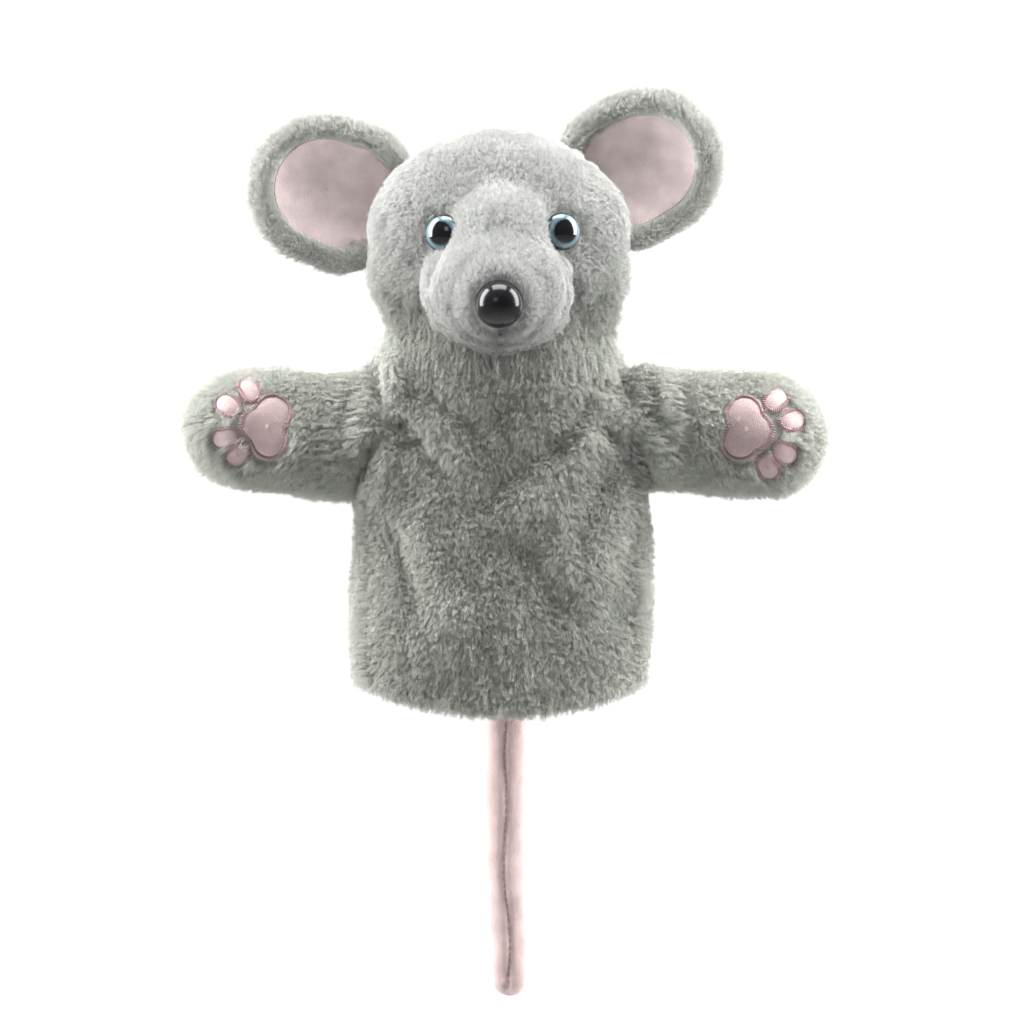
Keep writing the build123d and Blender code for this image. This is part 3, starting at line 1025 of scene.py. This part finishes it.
def ear_shell(name):
    """The plush back and its rolled rim, as one skin from the front seam to the back."""
    points = []
    profile = [math.radians(a) for a in range(205, -75, -20)]
    back_rows = 7
    rows = len(profile) + back_rows
    for theta in turns(EAR_AROUND):
        q = rim_size(theta)
        middle = ear_reach(theta) - q
        for a in profile:
            points.append(ear_point(name, theta, middle + q * math.cos(a), q * math.sin(a)))
        last_r = middle + q * math.cos(profile[-1])
        last_w = q * math.sin(profile[-1])
        for j in range(1, back_rows + 1):
            share = j / back_rows
            deep = float(smooth_step(share, 0, 0.45))
            w = last_w * (1 - deep) - EAR_DEPTH * deep
            points.append(ear_point(name, theta, last_r * (1 - share) + 0.05, w))
    faces = []
    for k in range(EAR_AROUND):
        n = (k + 1) % EAR_AROUND
        for j in range(rows - 1):
            faces.append((k * rows + j, k * rows + j + 1, n * rows + j + 1, n * rows + j))
    piece = mesh_piece(f"ear_plush_{name}", points, faces)
    finer(piece)
    with edited(piece.data) as bm:
        bmesh.ops.remove_doubles(bm, verts=bm.verts, dist=0.05 * MM)
        bmesh.ops.recalc_face_normals(bm, faces=bm.faces)
    p = points_of(piece.data)
    push_out(piece, 0.8 * lattice_noise(p, 18, 51) + 0.8 * clumps(p, 52, (1, 1, 1)))
    piece.data.shade_smooth()
    piece.data.materials.append(ear_plush)
    ear_pile(piece, name)
    return piece


def ear_pile(piece, name):
    """Says where the ear's pile grows: not at the root, and short of the lining in front."""
    pile = piece.vertex_groups.new(name="pile")
    centre, root, reach = ear_axes(name)
    for i, point in enumerate(points_of(piece.data)):
        local = point - centre
        s = local @ root
        out = math.hypot(local[0], local[2])
        theta = math.acos(max(-1, min(1, s / max(out, 0.1))))
        weight = 1.0 - float(smooth_step(s, reach + 9, reach + 13))
        if local[1] < 1.5:
            q, edge = rim_size(theta), ear_reach(theta)
            weight *= float(smooth_step(out, edge - 1.95 * q, edge - 1.4 * q))
        pile.add([i], weight, "REPLACE")


def ear_inside(name):
    """The pink lining: a shallow dish with soft creases that run to the root."""
    rows, around = 26, 96
    points = []
    for r in range(rows + 1):
        share = r / rows
        for theta in turns(around):
            edge = ear_reach(theta) - 2 * rim_size(theta) + 1.0
            dish = -2.6 + 2.8 * share**3
            swell = math.sin(math.pi * min(share * 1.05, 1)) * float(smooth_step(share, 0.15, 0.6))
            crease = 0.0
            for angle, depth, wide in EAR_CREASES:
                off = math.remainder(theta - angle * SIDES[name], 2 * math.pi)
                crease += depth * math.exp(-((off / wide) ** 2)) * swell
            points.append(ear_point(name, theta, edge * max(share, 0.004), dish - crease))
    faces = [tuple(range(around))] + ring_faces(rows + 1, around, False)
    piece = mesh_piece(f"ear_pink_{name}", points, faces)
    p = points_of(piece.data)
    if normals_of(piece.data)[:, 1].mean() >= 0:
        piece.data.flip_normals()
    p[:, 1] -= 0.7 * lattice_noise(p, 15, 61) + 0.3 * lattice_noise(p, 7, 62)
    set_points(piece.data, p)
    piece.data.materials.append(ear_pink)
    solid = piece.modifiers.new("fabric", "SOLIDIFY")
    solid.thickness = 0.9 * MM
    solid.offset = -1
    baked(piece)
    return piece


def ear_thread(name):
    """The seam where the lining meets the rim, a little sunk, leaving the root open."""
    line = []
    for k in range(110):
        theta = 0.6 + (2 * math.pi - 1.2) * k / 109
        line.append(ear_point(name, theta, ear_reach(theta) - 2 * rim_size(theta) + 0.5, 0.9))
    return joined(f"ear_stitching_{name}", [tube_along(line, 0.4, 6)], mauve_thread)


# ---- paws ----
PAW_PADS = {
    "left": {
        "lobes": ((101.0, 123.0), (105.5, 115.8), (99.5, 112.0)),
        "toes": ((114.2, 128.9), (121.0, 120.5), (118.0, 107.1), (110.9, 101.2)),
    },
    "right": {
        "lobes": ((-95.5, 123.5), (-101.5, 118.5), (-97.0, 112.5)),
        "toes": ((-105.4, 133.1), (-114.0, 126.6), (-115.3, 113.4), (-110.2, 106.3)),
    },
}
LOBE_R = 7.8
TOE_R = 4.2
TOE_STRETCH = 1.6  # a toe is an oval, as two circles this far either side of its middle
PAD_RISE = 1.9  # the pads swell out of the pile
PAD_SUNK = 0.4


def outline_of(circles, around):
    """The outline round overlapping circles, with its inner corners softened."""
    middle = np.mean([c[:2] for c in circles], axis=0)
    radii = []
    for t in turns(around):
        d = np.array((math.cos(t), math.sin(t)))
        far = 0.0
        for cx, cz, r in circles:
            c = np.array((cx, cz)) - middle
            along = c @ d
            off = r * r - (c @ c - along * along)
            if off > 0:
                far = max(far, along + math.sqrt(off))
        radii.append(far)
    radii = np.array(radii)
    for _ in range(2):
        radii = (np.roll(radii, 1) + 2 * radii + np.roll(radii, -1)) / 4
    return middle, radii


def pad_solid(tree, circles, rise, around=64, rows=10):
    """A domed pad on the paw's front, and the points of its edge with the skin's normals."""
    middle, radii = outline_of(circles, around)
    points, edge = [], []
    for r in range(rows + 1):
        share = r / rows
        for t, radius in zip(turns(around), radii):
            x = middle[0] + radius * share * math.cos(t)
            z = middle[1] + radius * share * math.sin(t)
            skin, normal = touch(tree, (x, -90, z), (0, 1, 0))
            swell = rise * (1 - share**6) ** 0.5 - PAD_SUNK * share
            points.append(skin + np.array([0, -1, 0]) * swell * 0.5 + normal * swell * 0.5)
            if r == rows:
                edge.append((skin, normal, np.array((math.cos(t), 0, math.sin(t)))))
    faces = [tuple(reversed(range(around)))]
    for r in range(rows):
        for k in range(around):
            a, b = r * around + k, r * around + (k + 1) % around
            faces.append((a, a + around, b + around, b))
    return (points, faces), edge


STITCH = ((-0.9, 0.5), (-0.1, 0.3), (0.2, -0.1), (0.4, -0.8), (0.3, -1.5))  # upwards, outwards


def stitches_round(edge, height):
    """Satin stitches, each a short thick thread over the pad's edge."""
    solids = []
    for i, (skin, normal, out) in enumerate(edge):
        nxt = edge[(i + 1) % len(edge)]
        steps = max(1, int(np.linalg.norm(nxt[0] - skin) / 0.6))
        for f in (j / steps for j in range(steps)):
            place, up, away = (a * (1 - f) + b * f for a, b in zip((skin, normal, out), nxt))
            away = away / np.linalg.norm(away)
            line = [place + up * (height + rise) + away * reach for rise, reach in STITCH]
            solids.append(tube_along(line, 0.3, 5))
    return solids


def paw_pieces(name, front):
    """The pink pads of one paw and the stitching round them."""
    tree = surface_of(front)
    pads = PAW_PADS[name]
    lobes = [(x, z, LOBE_R) for x, z in pads["lobes"]]
    main, edge = pad_solid(tree, lobes, PAD_RISE)
    threads = stitches_round(edge, 1.0)
    toes = []
    for x, z in pads["toes"]:
        away = np.array((x, z)) - np.mean(pads["lobes"], axis=0)
        away = away / np.linalg.norm(away) * TOE_STRETCH
        circles = [(x + k * away[0], z + k * away[1], TOE_R) for k in (-1, 0, 1)]
        toe, edge = pad_solid(tree, circles, PAD_RISE * 0.9, 36, 7)
        toes.append(toe)
        threads.extend(stitches_round(edge, 0.95))
    return {
        "paw_pad": joined(f"paw_pad_pink_{name}", [main], pad_pink),
        "toe_pads": joined(f"toe_pads_pink_{name}", toes, pad_pink),
        "pad_stitching": joined(f"pad_threads_{name}", threads, mauve_thread),
    }


# ---- tail ----
TAIL_TOP_Z = 27.0
TAIL_BASE_Z = 15.0
TAIL_JOIN_Z = -44.0
TAIL_END = 6.5  # how much of the tip is rounded
TAIL_LIFT_Z = joint_place("tail_lift")[0][2]
TAIL_CURL_Z = joint_place("tail_curl")[0][2]
STITCH_STEP = 2.9


def tail_middle(z):
    """Where the tail's middle line passes at a height, bending a little either way."""
    x = TAIL[0] + 1.0 * math.sin((z + 10) / 24) * float(smooth_step(-z, -5, 20))
    root = float(smooth_step(z, 8, 27))
    y = TAIL[1] - 13.5 * root + 0.8 * math.sin(z / 30)
    return x, y


def seam_sway(z):
    """How far the front seam strays from the middle line."""
    return 0.9 * np.sin(z / 9.0) * smooth_step(-z, -20, 30)


def tail_half(z):
    share = (TAIL_LIFT_Z - z) / (TAIL_LIFT_Z - TAIL_TIP_Z)
    share = min(max(share, -0.15), 1)
    wide = 9.1 - 2.2 * share
    deep = 5.8 - 0.6 * share
    end = z - TAIL_TIP_Z
    if end < TAIL_END:
        close = math.sqrt(max(1 - ((TAIL_END - end) / TAIL_END) ** 2, 0.0004))
        wide, deep = wide * close, deep * close
    return wide, deep


def tail_skin():
    """A soft tube, flatter at the seam down its front, with slight sags between its ends."""
    around = 40
    heights = list(np.arange(TAIL_TOP_Z, TAIL_TIP_Z + TAIL_END, -1.1))
    heights += [TAIL_TIP_Z + TAIL_END * (1 - math.sin(math.pi / 2 * k / 8)) for k in range(1, 9)]
    points = []
    for z in heights:
        x, y = tail_middle(z)
        wide, deep = tail_half(z)
        points.extend((x + wide * math.cos(t), y + deep * math.sin(t), z) for t in turns(around))
    piece = mesh_piece("tail_skin", points, ring_faces(len(heights), around))
    face_outwards(piece.data)
    finer(piece)
    p = points_of(piece.data)
    seam = np.array([tail_middle(z)[0] for z in p[:, Z]]) + seam_sway(p[:, Z])
    front = smooth_step(-normals_of(piece.data)[:, Y], 0.2, 0.7)
    groove = 0.8 * bump(p[:, X], seam, 1.3) * front
    puckers = 0.25 * lattice_noise(p, (40, 40, 2.6), 73) * bump(p[:, X], seam, 3.0) * front
    lumps = 0.7 * lattice_noise(p, (12, 12, 17), 71) + 0.25 * lattice_noise(p, 5, 72)
    push_out(piece, lumps + puckers - groove)
    piece.data.materials.append(tail_pink)
    return piece


def tail_stitching(tree, name, top, low):
    """Small slanting stitches in the groove of the tail's front seam."""
    solids = []
    z = top - 0.8
    lean, other_lean = -0.12, 0.18
    while z > low + 1.0:
        x = tail_middle(z)[0] + float(seam_sway(z))
        ends = []
        for t in (-1, -0.5, 0, 0.5, 1):
            found = touch(tree, (x + lean * t, 0, z + 1.15 * t), (0, 1, 0))
            if found is None:
                break
            ends.append(found[0] + np.array((0, 0.15 - 0.3 * (1 - t * t), 0)))
        if len(ends) == 5:
            solids.append(tube_along(ends, 0.3, 6))
        z -= STITCH_STEP
        lean, other_lean = other_lean, lean
    return joined(name, solids, mauve_thread)


# ---- hem and back seam ----
HEM_STITCHES = 74
FACING_IN = 5.35  # how far inside the glove's outline the facing lies
HEM_EDGE = ((1.2, 5), (0.9, 2.5), (1.1, 0.3), (1.8, -1.1), (3.0, -1.2))  # inwards, upwards
HEM_FACING = ((4.3, 0.0), (4.9, 2.5), (5.2, 7), (5.3, 12.5), (4.4, 13.0), (3.4, 12.0))


def hem_ring(inwards, around):
    """A ring this far inside the hem, following its curve."""
    ring = super_ring(BODY_X, 0, 0, HEM_HALF[0] - inwards, HEM_HALF[1] - inwards, HEM_SQUARENESS, around)
    ring = np.array(ring)
    ring[:, Z] = hem_lift(ring)
    return ring


def hem_band():
    """The hem, turned up inside the glove: a rounded lower edge and a facing with its top."""
    around = 220
    profile = HEM_EDGE + HEM_FACING
    points = []
    for inwards, upwards in profile:
        points.extend(hem_ring(inwards, around) + (0, 0, upwards))
    piece = mesh_piece("hem_turning", points, ring_faces(len(profile), around, False))
    face_outwards(piece.data)
    piece.data.materials.append(grey_plush)
    piece.data.materials.append(backing)
    for face in piece.data.polygons:
        face.material_index = 0 if face.index // around < len(HEM_EDGE) else 1
    push_out(piece, 0.5 * lattice_noise(points_of(piece.data), 9, 81))
    pile = piece.vertex_groups.new(name="pile")
    pile.add(list(range(around, around * len(HEM_EDGE))), 1.0, "REPLACE")
    return piece


def hem_threads():
    """A row of running stitches that holds the facing."""
    solids = []
    ring = hem_ring(FACING_IN, HEM_STITCHES * 6)
    for s in range(0, len(ring), 6):
        line = []
        for j in range(4):
            flat = ring[s + j] * (1, 1, 0)
            rise = 0.35 * math.sin(math.pi * j / 3)
            line.append(ring[s + j] - flat / np.linalg.norm(flat) * rise + (0, 0, 10))
        solids.append(tube_along(line, 0.33, 5))
    return joined("hem_threads", solids, brown_thread)


def back_threads(trees):
    """Ladder stitches down the closed middle seam of the back, but for where the tail is."""
    solids = []
    for z in np.arange(8.0, 136.0, 3.2):
        if 14 < z < 29:
            continue
        line = []
        for t in (-1.6, -0.8, 0.0, 0.8, 1.6):
            hits = (touch(tree, (t + 0.001, 120, z + 0.5 * t), (0, -1, 0)) for tree in trees)
            found = next((hit for hit in hits if hit is not None), None)
            if found is not None:
                line.append(found[0] + np.array((0, 0.5, 0)))
        if len(line) == 5:
            solids.append(tube_along(line, 0.35, 5))
    return joined("back_threads", solids, mauve_thread)


# ---- building ----
eye_paint = eye_material("eye_iris", PUPIL_R, IRIS_R, EYE_R)

skin = glove_skin()
glove = glove_pieces(skin)
bpy.data.objects.remove(skin)
skull = head_skin()
head = head_pieces(skull)
stuffing = head_wadding(skull)
head_tree = surface_of(skull)

paws = {name: paw_pieces(name, glove[f"arm_front_plush_{name}"]) for name in SIDES}
back_seam = back_threads([surface_of(glove[f"body_back_plush_{name}"]) for name in SIDES])
mouth_piece = mouth(head_tree)
eye_pieces = eyes()
nose_piece = nose_ball()
bpy.data.objects.remove(skull)

for pieces, plush in ((glove, grey_plush), (head, silver_plush)):
    for piece in pieces.values():
        thicken(piece, plush, backing)

ears = {}
for name in SIDES:
    ears[name] = {"plush": ear_shell(name), "pink": ear_inside(name), "thread": ear_thread(name)}

whole_tail = tail_skin()
tail_tree = surface_of(whole_tail)
tail_cuts = {
    "tail_base": [over(Z, TAIL_BASE_Z)],
    "tail_upper": [under(Z, TAIL_BASE_Z), over(Z, TAIL_JOIN_Z)],
    "tail_lower": [under(Z, TAIL_JOIN_Z)],
}
tail = cut_up(whole_tail, tail_cuts)
tail_seams = {
    "tail_upper": tail_stitching(tail_tree, "tail_threads_upper", TAIL_BASE_Z, TAIL_JOIN_Z),
    "tail_lower": tail_stitching(tail_tree, "tail_threads_lower", TAIL_JOIN_Z, TAIL_TIP_Z + 3),
}
bpy.data.objects.remove(whole_tail)
hem = hem_band()
hem_stitch = hem_threads()

# bare places in the pile
for name in SIDES:
    front = glove[f"arm_front_plush_{name}"]
    for x, z in PAW_PADS[name]["lobes"]:
        bare_patch(front, (x, -20.5, z), LOBE_R + 2.0, 0.6)
    for x, z in PAW_PADS[name]["toes"]:
        bare_patch(front, (x, -18.5, z), TOE_R + 1.6, 0.8)
for piece in head.values():
    for _, centre in eye_pieces.values():
        bare_patch(piece, centre, EYE_R - 0.4, 1.2)
    bare_patch(piece, NOSE, NOSE_R + 0.4, 1.5)


def sewn(piece, slot, *nodes):
    """Hides the CAD nodes that a piece stands for, if there are any; the piece and the slot are not used."""
    if nodes:
        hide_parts(*nodes)


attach(glove["body_front_plush"], "glove")
sewn(glove["body_front_plush"], "body_plush", "body_front_panel")
for name, side in SIDES.items():
    back = glove[f"body_back_plush_{name}"]
    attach(back, "glove")
    sewn(back, "body_plush", f"body_back_panel_{name}")
    sleeve = glove[f"sleeve_{name}"]
    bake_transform(sleeve)
    sewn(sleeve, "body_plush", f"shoulder_fold_{name}")
    arm_front, arm_back = glove[f"arm_front_plush_{name}"], glove[f"arm_back_plush_{name}"]
    sewn(arm_front, "body_plush", f"arm_front_{name}", f"paw_filling_{name}")
    sewn(arm_back, "body_plush", f"arm_back_{name}")
    for key, piece in paws[name].items():
        sewn(piece, "mauve_thread" if key == "pad_stitching" else "pink_velboa", f"{key}_{name}")
    for piece in (arm_front, arm_back, *paws[name].values()):
        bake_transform(piece)
    for piece in ears[name].values():
        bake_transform(piece)
    sewn(ears[name]["plush"], "body_plush", f"ear_back_{name}")
    sewn(ears[name]["pink"], "pink_velboa", f"ear_lining_{name}")
    sewn(ears[name]["thread"], "grey_thread", f"ear_seam_{name}")
    eye, _ = eye_pieces[name]
    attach(eye, "head")
    sewn(eye, "eye_iris", f"eye_dome_{name}", f"eye_back_{name}")
    sewn(head[f"head_side_plush_{name}"], "head_plush", f"head_side_{name}")

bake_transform(glove["collar"])
sewn(glove["collar"], "body_plush")
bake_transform(glove["neck"])
sewn(glove["neck"], "body_plush", "neck_fold")
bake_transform(head["head_skirt"])
sewn(head["head_skirt"], "head_plush")
sewn(head["head_face_plush"], "head_plush", "head_face_panel")
sewn(head["head_back_plush"], "head_plush", "head_back_panel")
sewn(head["chin_plush"], "head_plush", "chin_panel")
sewn(stuffing, "wadding", "head_filling")
sewn(nose_piece, "nose_black", "nose")
sewn(mouth_piece, "grey_thread", "mouth_stitch")
for piece in (*head.values(), stuffing, nose_piece, mouth_piece):
    if piece is not head["head_skirt"]:
        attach(piece, "head")

sewn(hem, "lining", "hem_facing")
sewn(hem_stitch, "grey_thread", "hem_stitching")
sewn(back_seam, "mauve_thread", "back_seam_thread")
for piece in (hem, hem_stitch, back_seam):
    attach(piece, "glove")


sewn(tail["tail_base"], "pink_velboa", "tail_root", "tail_anchor")
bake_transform(tail["tail_base"])
curl_end = 2 * TAIL_CURL_Z - TAIL_JOIN_Z + 1
for name, fixed, start, end in (
    ("tail_upper", "tail_root", TAIL_BASE_Z - 1, 1),
    ("tail_lower", "tail_upper", TAIL_JOIN_Z - 1, curl_end),
):
    for piece in (tail[name], tail_seams[name]):
        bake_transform(piece)
    sewn(tail[name], "pink_velboa", f"{name}_skin", f"{name}_filling")
    sewn(tail_seams[name], "mauve_thread", name.replace("tail", "tail_seam"))

# pieces of the CAD model that stay, seen only from inside
for node, material in (
    ("finger_tube", backing),
    ("nose_washer", washer_white),
    ("eye_washer_left", washer_white),
    ("eye_washer_right", washer_white),
):
    for place in frame["nodes"][node].material_slots:
        place.material = material


# ---- stage, light and camera ----
def area_light(name, place, aim_z, size, power):
    data = bpy.data.lights.new(name, "AREA")
    data.shape = "RECTANGLE"
    data.size, data.size_y = size
    data.energy = power
    light = placed(name, data)
    light.location = place
    direction = Vector((0, 0, aim_z)) - Vector(place)
    light.rotation_euler = direction.to_track_quat("-Z", "Y").to_euler()


def paper_material(name, glow):
    look = Look(name)
    grain = look.ramp(look.noise(3, 2), [(0.3, (0.80, 0.80, 0.80)), (0.7, (0.84, 0.84, 0.84))])
    return look.finished(grain, 0.9, {"Emission Color": (1, 1, 1, 1), "Emission Strength": glow})


FLOOR = 4500  # half its width
corners = [(-FLOOR, -FLOOR, 0), (FLOOR, -FLOOR, 0), (FLOOR, FLOOR, 0), (-FLOOR, FLOOR, 0)]
floor = mesh_piece("floor", corners, [(0, 1, 2, 3)])
floor.location = (0, 0, -0.9)
floor.data.materials.append(paper_material("floor_paper", 0.05))

world = bpy.data.worlds.new("studio")
world.use_nodes = True
nodes, links = world.node_tree.nodes, world.node_tree.links
where = nodes.new("ShaderNodeTexCoord")
parts = nodes.new("ShaderNodeSeparateXYZ")
links.new(where.outputs["Generated"], parts.inputs["Vector"])
glow = nodes.new("ShaderNodeMapRange")  # bright behind the puppet and dim in front of it
glow.interpolation_type = "SMOOTHSTEP"
glow.inputs["From Min"].default_value = -0.25
glow.inputs["From Max"].default_value = 0.75
glow.inputs["To Min"].default_value = 0.16
glow.inputs["To Max"].default_value = 1.05
links.new(parts.outputs["Y"], glow.inputs["Value"])
nodes["Background"].inputs["Color"].default_value = (1, 1, 1, 1)
links.new(glow.outputs["Result"], nodes["Background"].inputs["Strength"])
bpy.context.scene.world = world
bpy.context.scene.view_settings.view_transform = "Standard"
bpy.context.scene.view_settings.look = "None"

for name, place, aim_z, size, power in (
    ("right_softbox", (-0.75, -0.04, 0.48), 0.12, (0.35, 0.9), 24),
    ("left_softbox", (0.75, -0.04, 0.48), 0.12, (0.35, 0.9), 21),
    ("top_light", (0, -0.12, 1.1), 0.12, (0.8, 0.5), 20),
    ("back_right", (-0.7, 0.7, 0.4), 0.1, (0.6, 1.0), 3),
    ("back_left", (0.7, 0.7, 0.4), 0.1, (0.6, 1.0), 3),
    ("front_fill", (-0.6, -2.0, 0.9), 0.1, (0.6, 0.6), 3),
):
    area_light(name, place, aim_z, size, power)

CAMERA_FAR = 3000.0
VIEW_WIDTH = 430
camera_data = bpy.data.cameras.new("camera")
camera = placed("camera", camera_data)
camera.location = Vector((4.0, -CAMERA_FAR, 82.3)) * MM
camera.rotation_euler = (math.pi / 2, 0, 0)
camera_data.sensor_width = 36
camera_data.lens = camera_data.sensor_width * CAMERA_FAR / VIEW_WIDTH
camera_data.clip_end = 20
bpy.context.scene.camera = camera

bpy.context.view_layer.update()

# ---- pile, grown last because it slows down every change to the scene ----
DOWN = (0, 0, -0.38)
pile_seed = 1
for name, piece in glove.items():
    side = 1 if name.endswith("left") else -1
    comb = (side * 0.3, 0, -0.25) if "arm" in name or "sleeve" in name else DOWN
    grow_pile(piece, grey_hair, BODY_PILE, 0.55, 13, comb, pile_seed)
    pile_seed += 1
grow_pile(hem, grey_hair, HEM_PILE, 0.5, 10, DOWN, pile_seed)
for name, piece in head.items():
    short = "face" in name or "chin" in name
    comb = (0, 0.15, 0.25) if "face" in name else (0, 0.2, -0.25)
    pile_seed += 1
    hair, length = (face_hair, FACE_PILE) if short else (cheek_hair, HEAD_PILE)
    grow_pile(piece, hair, length, 0.6, 11, comb, pile_seed)
for name, side in SIDES.items():
    pile_seed += 1
    grow_pile(ears[name]["plush"], ear_hair, EAR_PILE, 0.55, 11, (side * 0.25, 0, 0.25), pile_seed)
